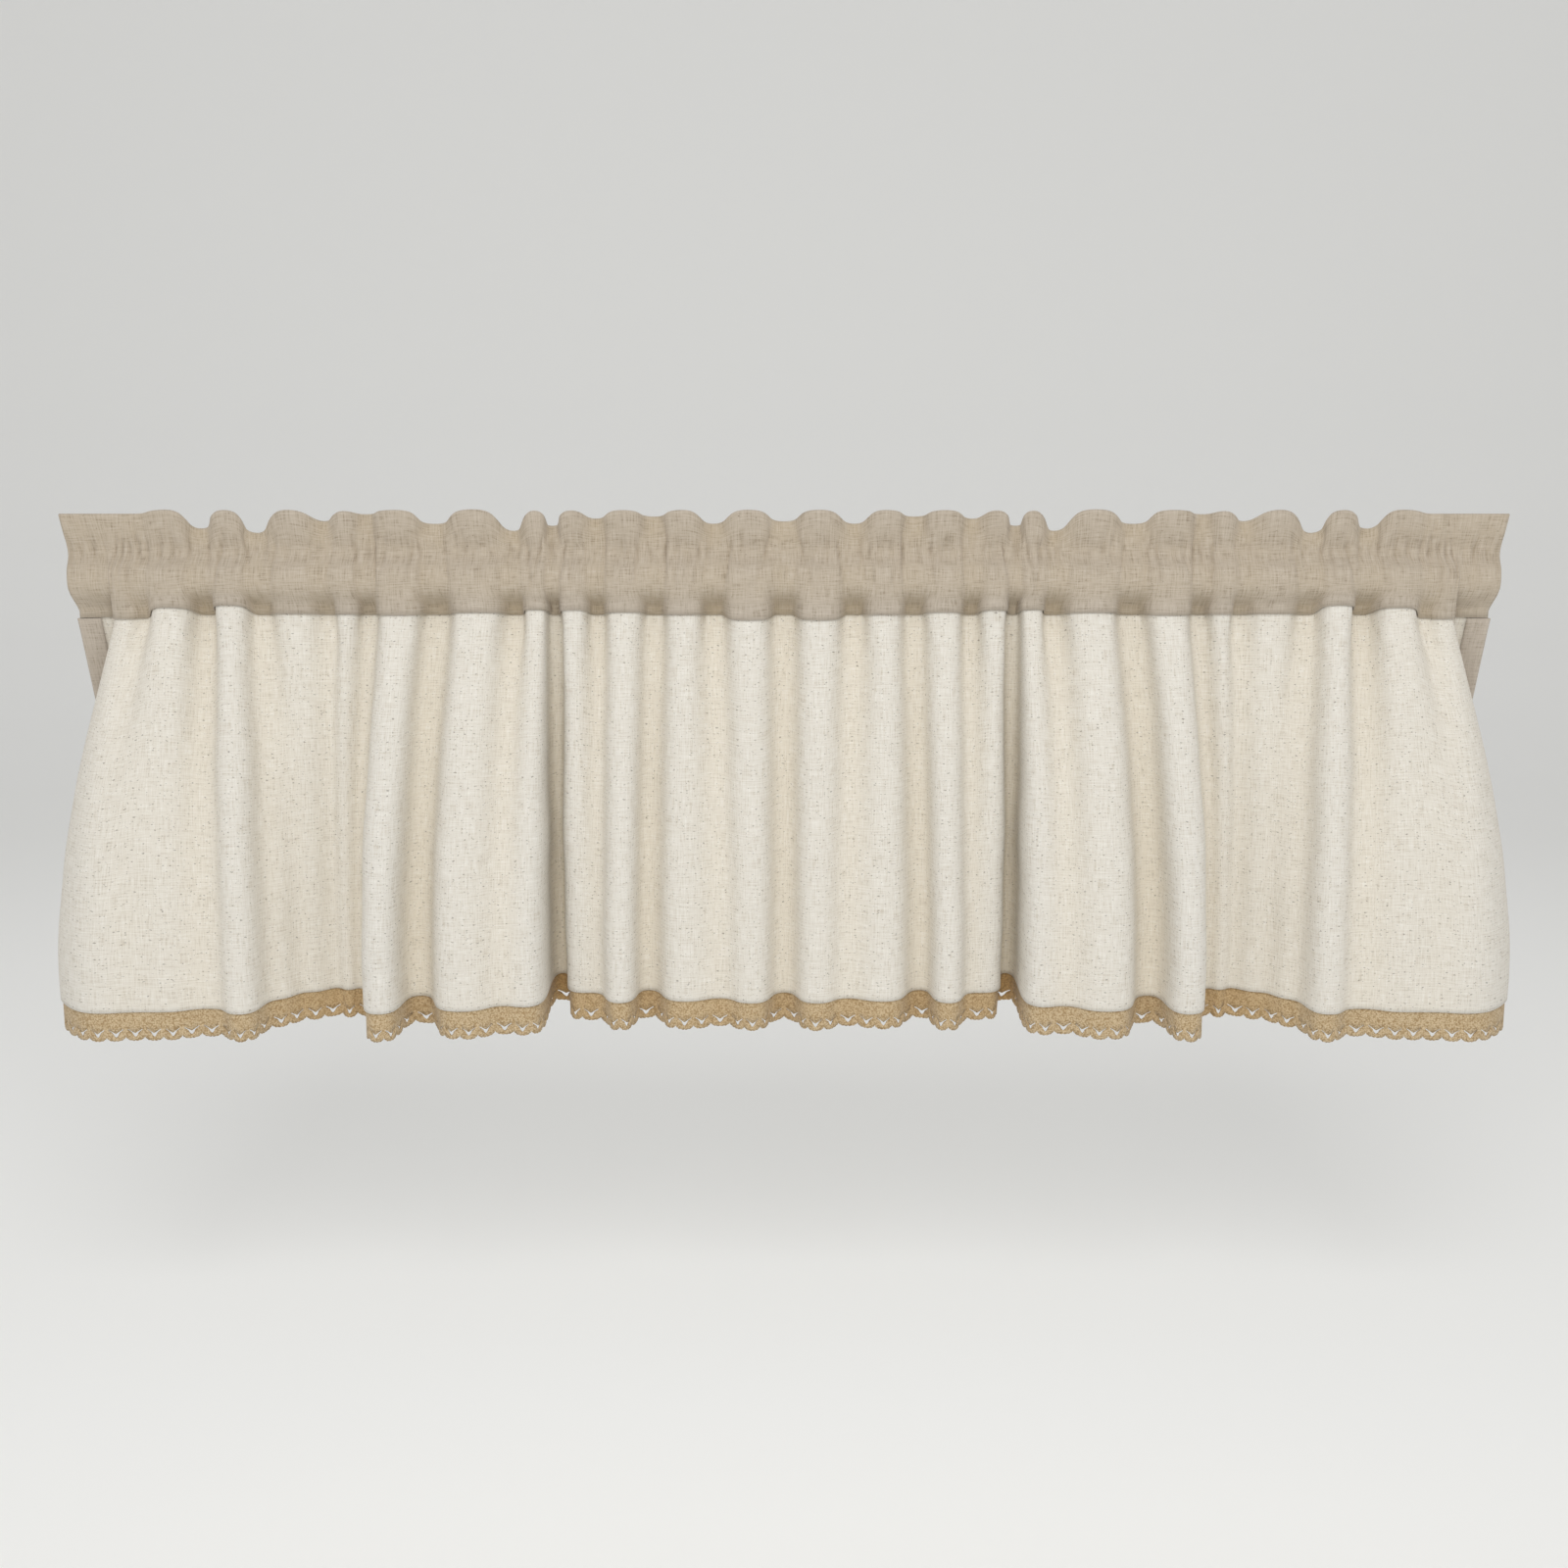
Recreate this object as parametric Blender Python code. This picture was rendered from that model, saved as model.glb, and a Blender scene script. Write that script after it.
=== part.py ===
"""Cafe curtain: a gathered rod-pocket heading, a linen panel, two side bands and a lace edge.

The cloth hangs as it would from a rod. +X runs along the rod, +Y points to the back, +Z up,
and the origin is the middle of the top edge. Every sheet follows one table with a row
for each fold of the left half. The right half is its mirror image.
"""
from typing import NamedTuple

import bpy
import bmesh
import numpy as np

# ---- Driving sizes, in metres ----
MM = 0.001
DROP = 0.450  # top edge to the lowest points of the lace
LACE_SHOWN = 0.026  # lace below the panel's hem
WAIST_Z = -0.035  # stitch line that parts the frill from the rod pocket
POCKET_LOW_Z = -0.064  # the pocket is fullest between these two heights
POCKET_HIGH_Z = -0.049
POCKET_BULGE = 0.014  # each pocket wall stands this far from the middle there
SEAM_LAP = 0.005  # panel tucked up between the heading's two layers
BAND_WIDTH = 0.017

PANEL_THICK = 0.0015
HEADING_THICK = 0.0010
LACE_THICK = 0.0012
BAND_THICK = 0.0010

LAYER_OFFSET = 0.0020  # heading layer from the panel's middle, at the seam
FRILL_OFFSET = 0.00125  # heading layer from the middle, in the frill
LACE_OFFSET = 0.0018  # lace behind the panel's middle
BAND_OFFSET = 0.0022  # band from the panel's middle, on both faces and past the edge
EDGE_GAP = 0.0005  # between cloth edges that meet

FRONT_HEM_Y = -0.051  # the foremost fold, which reaches lowest
HEM_RISE = 0.07  # cloth that swings back hangs higher, by this share of its distance
POCKET_FLATTEN = 0.45  # share of the fold depth that is left where the rod fills the pocket
WAIST_FLATTEN = 0.1  # share of the seam's fold depth at the stitch line
PANEL_LEVELS = (0.0, 0.2, 0.5, 0.982, 1.0)  # seam to hem; the last step backs the lace's lap
WIDE_FOLD = 0.070  # a wider step at the hem is drawn with one more column
MOST_MITRE = 1.7  # how far a sharp crease may push a shifted layer out, as a factor


class Turn(NamedTuple):
    """One point of the side edge's return, in millimetres, in plan at the frill, seam and hem."""

    name: str
    frill_x: float
    seam_x: float
    seam_y: float
    hem_x: float
    hem_y: float


class Fold(NamedTuple):
    """One fold of the left half, in millimetres: widths between hollows, and depths in plan."""

    name: str
    seam_width: float
    seam_z: float
    seam_crest: float
    hem_width: float
    hem_crest: float
    hem_hollow: float
    notch: float


TURNS = (
    Turn("side edge", -605, -596, 4, -585, 55),
    Turn("return back", -587, -578, 8, -565, 60),
    Turn("return fold", -570, -562, 10, -550, 55),
    Turn("side crest", -558, -564, -2, -635, 0),
    Turn("side front", -550, -552, -6, -610, -40),
    Turn("first hollow", -543, -543, 1, -595, -48),
)

FOLDS = (
    Fold("end fold", 55, -80, -13, 105, -44, -36, 16),
    Fold("second fold", 45, -78, -12, 50, -50, -15, 20),
    Fold("bay", 60, -86, -2, 45, 2, 12, 10),
    Fold("narrow fold", 30, -86, -5, 20, 6, 12, 4),
    Fold("third fold", 60, -86, -12, 55, -50, -5, 12),
    Fold("fourth fold", 70, -84, -12, 80, -42, -30, 18),
    Fold("fifth fold", 30, -82, -8, 40, -34, 50, 14),
    Fold("sixth fold", 35, -82, -11, 35, 0, 0, 8),
    Fold("seventh fold", 50, -84, -9, 45, -24, 8, 6),
    Fold("eighth fold", 50, -86, -9, 65, -20, -12, 12),
    Fold("centre fold", 60, -90, -12, 55, -24, 2, 10),
)

# Share of a fold's width from its left hollow, and share of the way from hollow to crest there
FOLD_PROFILE = ((0.14, 0.05), (0.30, 0.95), (0.70, 0.95), (0.86, 0.05), (1.0, 0.0))
HOLLOW_SEAM_Y = 10.0
HOLLOW_SEAM_Z = -88.0
TURN_SEAM_Z = -90.0
TURN_FRILL_Y = -3.0
TURN_FRILL_Z = -3.0
CREST_FRILL_Y = -8.0
HOLLOW_FRILL_Y = 6.0

# ---- Finishes: name, linear colour, roughness ----
TAUPE_LINEN = ("taupe_linen", (0.448, 0.392, 0.326), 0.92)
CREAM_LINEN = ("cream_linen", (0.760, 0.735, 0.670), 0.92)
COTTON_LACE = ("cotton_lace", (0.560, 0.440, 0.290), 0.90)


def clear_scene():
    """Remove every object of the open scene."""
    for obj in list(bpy.data.objects):
        bpy.data.objects.remove(obj, do_unlink=True)


def cloth_material(finish):
    """A plain cloth surface from a finish row."""
    name, colour, roughness = finish
    material = bpy.data.materials.new(name)
    material.use_nodes = True
    shader = material.node_tree.nodes["Principled BSDF"]
    shader.inputs["Base Color"].default_value = (*colour, 1.0)
    shader.inputs["Roughness"].default_value = roughness
    shader.inputs["Metallic"].default_value = 0.0
    return material


# ---- The fold table as control lines across the whole width ----
def whole_width(half):
    """Left half rows of x, y, z in metres, with the mirrored right half added."""
    mirrored = half[-2::-1] * np.array([-1.0, 1.0, 1.0])
    return np.vstack([half, mirrored])


def mix(hollow, crest, share):
    """The value at a share of the way from a hollow to a crest."""
    return hollow + (crest - hollow) * share


def left_half():
    """Control points of the frill, seam and hem of the left half, in millimetres."""
    frill = [(t.frill_x, TURN_FRILL_Y, TURN_FRILL_Z) for t in TURNS]
    seam = [(t.seam_x, t.seam_y, TURN_SEAM_Z) for t in TURNS]
    hem = [(t.hem_x, t.hem_y, 0.0) for t in TURNS]
    seam_fit = -TURNS[-1].seam_x / sum(fold.seam_width for fold in FOLDS)
    hem_fit = -TURNS[-1].hem_x / sum(fold.hem_width for fold in FOLDS)
    for fold in FOLDS:
        (seam_x, left_seam_y, left_seam_z), (hem_x, left_hem_y, _) = seam[-1], hem[-1]
        left_frill_y, left_frill_z = frill[-1][1:]
        for across, rise in FOLD_PROFILE:
            left = across < 0.5
            x = seam_x + across * fold.seam_width * seam_fit
            frill.append((
                x, mix(left_frill_y if left else HOLLOW_FRILL_Y, CREST_FRILL_Y, rise),
                mix(left_frill_z if left else -fold.notch, 0.0, rise),
            ))
            seam.append((
                x, mix(left_seam_y if left else HOLLOW_SEAM_Y, fold.seam_crest, rise),
                mix(left_seam_z if left else HOLLOW_SEAM_Z, fold.seam_z, rise),
            ))
            hem.append((
                hem_x + across * fold.hem_width * hem_fit,
                mix(left_hem_y if left else fold.hem_hollow, fold.hem_crest, rise), 0.0,
            ))
    return np.array(frill), np.array(seam), np.array(hem)


def frill_line():
    """Top edge of the frill."""
    return whole_width(left_half()[0] * MM)


def seam_line():
    """Lower edge of the heading, where the panel starts."""
    return whole_width(left_half()[1] * MM)


def waist_line():
    """Stitch line between the frill and the rod pocket."""
    frill, seam = frill_line(), seam_line()
    line = 0.5 * (frill + seam)
    line[:, 1] = WAIST_FLATTEN * seam[:, 1]
    line[:, 2] = WAIST_Z
    return line


def hem_line():
    """Lower edge of the panel."""
    rows = left_half()[2] * MM
    rows[:, 2] = LACE_SHOWN - DROP + HEM_RISE * (rows[:, 1] - FRONT_HEM_Y)
    return whole_width(rows)


def column_steps():
    """How many columns each step between two fold rows gets."""
    spans = np.linalg.norm(np.diff(hem_line(), axis=0), axis=1)
    return np.where(spans > WIDE_FOLD, 2, 1)


def smooth_curve(points, steps):
    """A centripetal Catmull-Rom curve through the points, with steps[i] columns on span i."""
    first = 2.0 * points[0] - points[1]
    last = 2.0 * points[-1] - points[-2]
    ends = np.vstack([first, points, last])
    knots = np.concatenate([[0.0], np.cumsum(np.linalg.norm(np.diff(ends, axis=0), axis=1) ** 0.5)])
    curve = []
    for i, count in enumerate(steps):
        p, k = ends[i:i + 4], knots[i:i + 4]
        for t in np.linspace(k[1], k[2], count, endpoint=False):
            a = [((k[j + 1] - t) * p[j] + (t - k[j]) * p[j + 1]) / (k[j + 1] - k[j]) for j in range(3)]
            b = [((k[j + 2] - t) * a[j] + (t - k[j]) * a[j + 1]) / (k[j + 2] - k[j]) for j in range(2)]
            curve.append(((k[2] - t) * b[0] + (t - k[1]) * b[1]) / (k[2] - k[1]))
    curve.append(points[-1])
    return np.array(curve)


def plan_normals(curve):
    """For each point, the direction to its left seen from above, longer where the curve bends."""
    spans = np.diff(curve[:, :2], axis=0)
    spans /= np.linalg.norm(spans, axis=1)[:, None]
    before = np.vstack([spans[:1], spans])
    after = np.vstack([spans, spans[-1:]])
    along = before + after
    along /= np.linalg.norm(along, axis=1)[:, None]
    mitre = 1.0 / np.sum(along * after, axis=1)
    across = np.column_stack([-along[:, 1], along[:, 0]])
    return across * np.minimum(mitre, MOST_MITRE)[:, None]


def shifted(curve, distance, lift=0.0):
    """The curve moved sideways in plan, towards the back if it runs to +X, and up by lift."""
    moved = curve.copy()
    moved[:, :2] += plan_normals(curve) * distance
    moved[:, 2] += lift
    return moved


# ---- Sheets ----
def sheet(name, rows, thickness, finish, folded_at=None):
    """A solid sheet whose middle surface runs through rows of points, all of one length.

    Past the row folded_at the quads split along their other diagonal, so that the two layers of
    a folded sheet bend alike.
    """
    columns = len(rows[0])
    grid = bmesh.new()
    bmesh.ops.create_grid(grid, x_segments=columns - 1, y_segments=len(rows) - 1, size=1.0)
    grid.verts.ensure_lookup_table()
    for index, vert in enumerate(grid.verts):
        vert.co = rows[index // columns][index % columns]
    turn = len(rows) if folded_at is None else folded_at
    under = [f for f in grid.faces if min(v.index for v in f.verts) // columns >= turn]
    over = [f for f in grid.faces if min(v.index for v in f.verts) // columns < turn]
    bmesh.ops.triangulate(grid, faces=over, quad_method="FIXED")
    bmesh.ops.triangulate(grid, faces=under, quad_method="ALTERNATE")
    mesh = bpy.data.meshes.new(name)
    grid.to_mesh(mesh)
    grid.free()
    obj = bpy.data.objects.new(name, mesh)
    bpy.context.scene.collection.objects.link(obj)
    obj.data.materials.append(cloth_material(finish))
    solid = obj.modifiers.new("thickness", "SOLIDIFY")
    solid.thickness = thickness
    solid.offset = 0.0
    return obj


def opening(level):
    """Share of the way from the seam's folds to the hem's: quick at first, then hanging plumb."""
    return np.sin(0.5 * np.pi * level)


def panel_rows():
    """Middle surface of the panel: the tucked top edge, then the levels down to the hem."""
    steps = column_steps()
    seam, hem = seam_line(), hem_line()
    rows = [smooth_curve(seam + (0.0, 0.0, SEAM_LAP), steps)]
    for level in PANEL_LEVELS:
        line = seam + (hem - seam) * opening(level)
        line[:, 2] = seam[:, 2] + (hem[:, 2] - seam[:, 2]) * level
        rows.append(smooth_curve(line, steps))
    return rows


def build_panel():
    """The cream panel, with its hem."""
    return sheet("panel", panel_rows(), PANEL_THICK, CREAM_LINEN)


def pocket_wall(height, side):
    """One row of a pocket wall: side is -1 at the front and 1 at the back."""
    line = 0.5 * (seam_line() + waist_line())
    line[:, 1] = POCKET_FLATTEN * line[:, 1] + side * POCKET_BULGE
    line[:, 2] = height
    return smooth_curve(line, column_steps())


def heading_side(side):
    """Rows of one heading layer, from the seam up to the top edge."""
    steps = column_steps()
    seam = smooth_curve(seam_line(), steps)
    return [
        shifted(seam, side * LAYER_OFFSET),
        shifted(seam, side * LAYER_OFFSET, SEAM_LAP + 2.0 * EDGE_GAP),
        pocket_wall(POCKET_LOW_Z, side),
        pocket_wall(POCKET_HIGH_Z, side),
        shifted(smooth_curve(waist_line(), steps), side * FRILL_OFFSET),
        shifted(smooth_curve(frill_line(), steps), side * FRILL_OFFSET, -0.5 * HEADING_THICK),
    ]


def build_heading():
    """The taupe band, folded double over the top: frill above, rod pocket below."""
    front, back = heading_side(-1.0), heading_side(1.0)
    return sheet("heading", front + back[::-1], HEADING_THICK, TAUPE_LINEN, len(front))


def build_lace():
    """The lace strip behind the hem."""
    lap, hem = panel_rows()[-2:]
    points = shifted(hem, LACE_OFFSET, -LACE_SHOWN)
    return sheet("lace_edge", [shifted(lap, LACE_OFFSET), points], LACE_THICK, COTTON_LACE)


def along_curve(curve, distance):
    """The point of a curve at a distance from its start."""
    runs = np.concatenate([[0.0], np.cumsum(np.linalg.norm(np.diff(curve, axis=0), axis=1))])
    return np.array([np.interp(distance, runs, curve[:, axis]) for axis in range(3)])


def band_loop(row, side):
    """Plan of a side band at one height: front leg, round the cloth's edge, back leg."""
    curve = row if side < 0 else row[::-1]
    reach = (BAND_WIDTH, 0.5 * BAND_WIDTH, 0.0)
    leg = np.array([along_curve(curve, distance) for distance in reach])
    outwards = leg[-1] - leg[-2]
    tip = leg[-1] + outwards * BAND_OFFSET / np.linalg.norm(outwards)
    front = shifted(leg, -side * BAND_OFFSET)
    back = shifted(leg, side * BAND_OFFSET)
    return np.vstack([front, tip, back[::-1]])


def build_band(name, side):
    """The taupe strip folded round one side edge: side is -1 on the left, 1 on the right."""
    rows = panel_rows()[1:-1]
    rows[0] = rows[0] - (0.0, 0.0, EDGE_GAP)
    rows[-1] = rows[-1] + (0.0, 0.0, EDGE_GAP)
    return sheet(name, [band_loop(row, side) for row in rows], BAND_THICK, TAUPE_LINEN)


clear_scene()
build_heading()
build_panel()
build_lace()
build_band("side_band_left", -1)
build_band("side_band_right", 1)
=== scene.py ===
"""Looks of the cafe curtain: gathered linen heading, cream panel, side bands and lace edge.

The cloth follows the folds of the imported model, with their corners softened. X runs along the
rod, +Y to the back, +Z up, and the origin is the middle of the top edge. Lengths are in metres,
apart from the fold table, which is in millimetres. The right half mirrors the left.
"""

import logging
import math
from dataclasses import dataclass, field
from enum import Enum
from typing import NamedTuple

import bmesh
import bpy
import numpy as np
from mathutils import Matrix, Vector, noise


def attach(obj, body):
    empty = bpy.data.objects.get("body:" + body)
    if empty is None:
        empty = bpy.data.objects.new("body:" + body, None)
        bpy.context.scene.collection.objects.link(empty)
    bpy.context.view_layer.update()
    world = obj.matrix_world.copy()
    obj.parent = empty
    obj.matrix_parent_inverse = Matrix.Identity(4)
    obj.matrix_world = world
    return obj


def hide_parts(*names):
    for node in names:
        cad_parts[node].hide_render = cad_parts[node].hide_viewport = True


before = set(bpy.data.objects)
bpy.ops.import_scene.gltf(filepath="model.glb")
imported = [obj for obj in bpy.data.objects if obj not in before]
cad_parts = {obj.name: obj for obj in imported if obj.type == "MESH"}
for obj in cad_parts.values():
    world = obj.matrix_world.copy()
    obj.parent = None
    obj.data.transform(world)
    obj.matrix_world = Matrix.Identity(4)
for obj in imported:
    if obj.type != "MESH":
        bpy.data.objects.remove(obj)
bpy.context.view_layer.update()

LOG = logging.getLogger("cafe_curtain")
MM = 0.001
CLOTH_MAP = "ClothMap"  # UV map in metres of cloth
PAINTED_SHADING = "painted_shading"  # point attribute, 0 on a crest and 1 in a hollow: the share of painted hollow light and shade in each finish
FULLNESS = 1.35  # length of cloth for each length of curtain at a stitch line
WIDTHS_OF_NEIGHBOURS = 14  # a point's neighbours reach over this fraction of the whole width
HOLLOW_FALLOFF = 1.5  # above 1, so that only the deeper part of a hollow gets painted light and shade


class Turn(NamedTuple):
    """One point of the side edge's return, in millimetres, in plan at the frill, seam and hem."""

    name: str
    frill_x: float
    seam_x: float
    seam_y: float
    hem_x: float
    hem_y: float


class Fold(NamedTuple):
    """One fold of the left half, in millimetres: widths between hollows, and depths in plan."""

    name: str
    seam_width: float
    seam_z: float
    seam_crest: float
    hem_width: float
    hem_crest: float
    hem_hollow: float
    notch: float


TURNS = (
    Turn("side edge", -605, -596, 4, -585, 55),
    Turn("return back", -587, -578, 8, -565, 60),
    Turn("return fold", -570, -562, 10, -550, 55),
    Turn("side crest", -558, -564, -2, -635, 0),
    Turn("side front", -550, -552, -6, -610, -40),
    Turn("first hollow", -543, -543, 1, -595, -48),
)

FOLDS = (
    Fold("end fold", 55, -80, -13, 105, -44, -36, 16),
    Fold("second fold", 45, -78, -12, 50, -50, -15, 20),
    Fold("bay", 60, -86, -2, 45, 2, 12, 10),
    Fold("narrow fold", 30, -86, -5, 20, 6, 12, 4),
    Fold("third fold", 60, -86, -12, 55, -50, -5, 12),
    Fold("fourth fold", 70, -84, -12, 80, -42, -30, 18),
    Fold("fifth fold", 30, -82, -8, 40, -34, 50, 14),
    Fold("sixth fold", 35, -82, -11, 35, 0, 0, 8),
    Fold("seventh fold", 50, -84, -9, 45, -24, 8, 6),
    Fold("eighth fold", 50, -86, -9, 65, -20, -12, 12),
    Fold("centre fold", 60, -90, -12, 55, -24, 2, 10),
)

# Share of a fold's width from its left hollow, and share of the way from hollow to crest there
FOLD_PROFILE = ((0.14, 0.05), (0.30, 0.95), (0.70, 0.95), (0.86, 0.05), (1.0, 0.0))
HOLLOW_SEAM_Y = 10.0
HOLLOW_SEAM_Z = -88.0
TURN_SEAM_Z = -90.0
TURN_FRILL_Y = -3.0
TURN_FRILL_Z = -3.0
CREST_FRILL_Y = -8.0
HOLLOW_FRILL_Y = 6.0


class Slot(Enum):
    """Material slots of the record."""

    TAUPE = "taupe_linen"
    CREAM = "cream_linen"
    LACE = "cotton_lace"


class Side(Enum):
    """The face that a layer of the heading lies on: the sign of its shift."""

    FRONT = -1.0
    BACK = 1.0


class End(Enum):
    """The side edge that a band covers."""

    LEFT = "left"
    RIGHT = "right"


class Thread(Enum):
    """The direction of a set of threads."""

    WEFT = "across"
    WARP = "down"


# ---- Geometry helpers ----
def smooth_rows(points: np.ndarray, steps: np.ndarray) -> np.ndarray:
    """Draw centripetal Catmull-Rom curves through rows of control points.

    Args:
        points: Control points, shaped (rows, controls, 3).
        steps: Number of columns on each span between two controls.

    Returns:
        Curve points, shaped (rows, columns, 3).
    """
    first = 2.0 * points[:, :1] - points[:, 1:2]
    last = 2.0 * points[:, -1:] - points[:, -2:-1]
    ends = np.concatenate([first, points, last], axis=1)
    gaps = np.linalg.norm(np.diff(ends, axis=1), axis=2) ** 0.5
    knots = np.concatenate([np.zeros((len(points), 1)), np.cumsum(gaps, axis=1)], axis=1)
    pieces = []
    for i, count in enumerate(steps):
        k = [knots[:, i + j][:, None, None] for j in range(4)]
        p = [ends[:, i + j][:, None, :] for j in range(4)]
        share = (np.arange(count) / count)[None, :, None]
        t = k[1] + (k[2] - k[1]) * share
        a = [((k[j + 1] - t) * p[j] + (t - k[j]) * p[j + 1]) / (k[j + 1] - k[j]) for j in range(3)]
        b = [((k[j + 2] - t) * a[j] + (t - k[j]) * a[j + 1]) / (k[j + 2] - k[j]) for j in range(2)]
        pieces.append(((k[2] - t) * b[0] + (t - k[1]) * b[1]) / (k[2] - k[1]))
    pieces.append(points[:, -1:])
    return np.concatenate(pieces, axis=1)


def plan_normals(rows: np.ndarray) -> np.ndarray:
    """Return unit vectors to the left of each row's run, seen from above, as (rows, columns, 2)."""
    along = np.gradient(rows[..., :2], axis=1)
    along /= np.maximum(np.linalg.norm(along, axis=2, keepdims=True), 1e-9)
    return np.stack([-along[..., 1], along[..., 0]], axis=2)


def shifted(rows: np.ndarray, distance: "float | np.ndarray") -> np.ndarray:
    """Move rows sideways in plan.

    Args:
        rows: Curve points, shaped (rows, columns, 3).
        distance: Metres towards the back for a row that runs to +X, one value or one a point.

    Returns:
        The moved points.
    """
    moved = rows.copy()
    moved[..., :2] += plan_normals(rows) * np.asarray(distance)[..., None]
    return moved


def rounded(rows: np.ndarray, window: int) -> np.ndarray:
    """Soften the corners of rows of points by a running mean along each row.

    Args:
        rows: Curve points, shaped (rows, columns, 3).
        window: Odd number of columns that the mean takes in.

    Returns:
        The softened points, with the ends of the rows where they were.
    """
    kernel = np.hanning(window + 2)[1:-1]
    kernel /= kernel.sum()
    reach = window // 2
    first = 2.0 * rows[:, :1] - rows[:, reach:0:-1]
    last = 2.0 * rows[:, -1:] - rows[:, -2:-reach - 2:-1]
    padded = np.concatenate([first, rows, last], axis=1)
    columns = rows.shape[1]
    return sum(weight * padded[:, i:i + columns] for i, weight in enumerate(kernel))


def run_lengths(points: np.ndarray) -> np.ndarray:
    """Return the distance along one curve at each of its points."""
    return np.concatenate([[0.0], np.cumsum(np.linalg.norm(np.diff(points, axis=0), axis=1))])


def points_at(distances: np.ndarray, runs: np.ndarray, curve: np.ndarray) -> np.ndarray:
    """Return the points of a curve at distances along it.

    Args:
        distances: Where the points are wanted.
        runs: The distance along the curve at each of its own points.
        curve: The curve's points, shaped (columns, 3).

    Returns:
        One point for each distance.
    """
    return np.stack([np.interp(distances, runs, curve[:, axis]) for axis in range(3)], axis=1)


def mix(hollow: float, crest: float, share: float) -> float:
    """Return the value at a share of the way from a hollow to a crest."""
    return hollow + (crest - hollow) * share


def whole_width(half: np.ndarray) -> np.ndarray:
    """Add the mirrored right half to control points of the left half."""
    return np.vstack([half, half[-2::-1] * np.array([-1.0, 1.0, 1.0])])


def cloth_object(
    name: str, rows: np.ndarray, thickness: float, uv: np.ndarray, painted_shading: np.ndarray
) -> bpy.types.Object:
    """Make a sheet from a bmesh grid laid on rows of points, and give it thickness.

    Args:
        name: Name of the piece.
        rows: Middle surface, shaped (rows, columns, 3).
        thickness: Thickness of the cloth.
        uv: Cloth coordinates in metres, shaped (rows, columns, 2).
        painted_shading: From 0 on a crest to 1 in a hollow, shaped (rows, columns).

    Returns:
        The new object.
    """
    return dressed_sheet(name, cloth_grid(rows), thickness, uv, painted_shading)


def cloth_grid(rows: np.ndarray) -> bmesh.types.BMesh:
    """Make a smooth single layer through rows of points, vertex by vertex along each row."""
    count, columns = rows.shape[:2]
    grid = bmesh.new()
    bmesh.ops.create_grid(grid, x_segments=columns - 1, y_segments=count - 1, size=1.0)
    grid.verts.ensure_lookup_table()
    for vert, place in zip(grid.verts, rows.reshape(-1, 3)):
        vert.co = place
    for face in grid.faces:
        face.smooth = True
    return grid


def dressed_sheet(
    name: str, grid: bmesh.types.BMesh, thickness: float, uv: np.ndarray, painted_shading: np.ndarray
) -> bpy.types.Object:
    """Turn a layer into a piece with its cloth map, hollow shading and thickness.

    Args:
        name: Name of the piece.
        grid: The single layer, which is freed.
        thickness: Thickness of the cloth.
        uv: Cloth coordinates in metres, one pair for each vertex.
        painted_shading: From 0 on a crest to 1 in a hollow, one value for each vertex.

    Returns:
        The new object.
    """
    mesh = bpy.data.meshes.new(name)
    grid.to_mesh(mesh)
    grid.free()
    corners = np.zeros(len(mesh.loops), dtype=np.int32)
    mesh.loops.foreach_get("vertex_index", corners)
    layer = mesh.uv_layers.new(name=CLOTH_MAP)
    layer.data.foreach_set("uv", uv.reshape(-1, 2)[corners].astype(np.float32).ravel())
    shade = mesh.attributes.new(PAINTED_SHADING, "FLOAT", "POINT")
    shade.data.foreach_set("value", painted_shading.astype(np.float32).ravel())
    obj = bpy.data.objects.new(name, mesh)
    bpy.context.scene.collection.objects.link(obj)
    solid = obj.modifiers.new("thickness", "SOLIDIFY")
    solid.thickness = thickness
    solid.offset = 0.0
    return obj


def cloth_map(rows: np.ndarray) -> np.ndarray:
    """Return cloth coordinates in metres, from mean run lengths across and down."""
    spans = np.linalg.norm(np.diff(rows, axis=1), axis=2).mean(axis=0)
    across = np.concatenate([[0.0], np.cumsum(spans)])
    drops = np.linalg.norm(np.diff(rows, axis=0), axis=2).mean(axis=1)
    down = -np.concatenate([[0.0], np.cumsum(drops)])
    return np.stack(np.broadcast_arrays(across[None, :], down[:, None]), axis=2)


def hollow_share(rows: np.ndarray, span: float) -> np.ndarray:
    """Return how far each point lies behind its neighbours, from 0 on a crest to 1 in a hollow.

    Args:
        rows: Points of the cloth.
        span: Depth from crest to hollow that counts in full.

    Returns:
        One value for each point.
    """
    depth = rows[..., 1]
    wide = depth.shape[1] // WIDTHS_OF_NEIGHBOURS
    kernel = np.hanning(wide)
    kernel /= kernel.sum()
    padded = np.pad(depth, ((0, 0), (wide // 2, wide - 1 - wide // 2)), mode="edge")
    mean = np.array([np.convolve(row, kernel, mode="valid") for row in padded])
    return np.clip(0.5 + (depth - mean) / span, 0.0, 1.0) ** HOLLOW_FALLOFF


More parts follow.
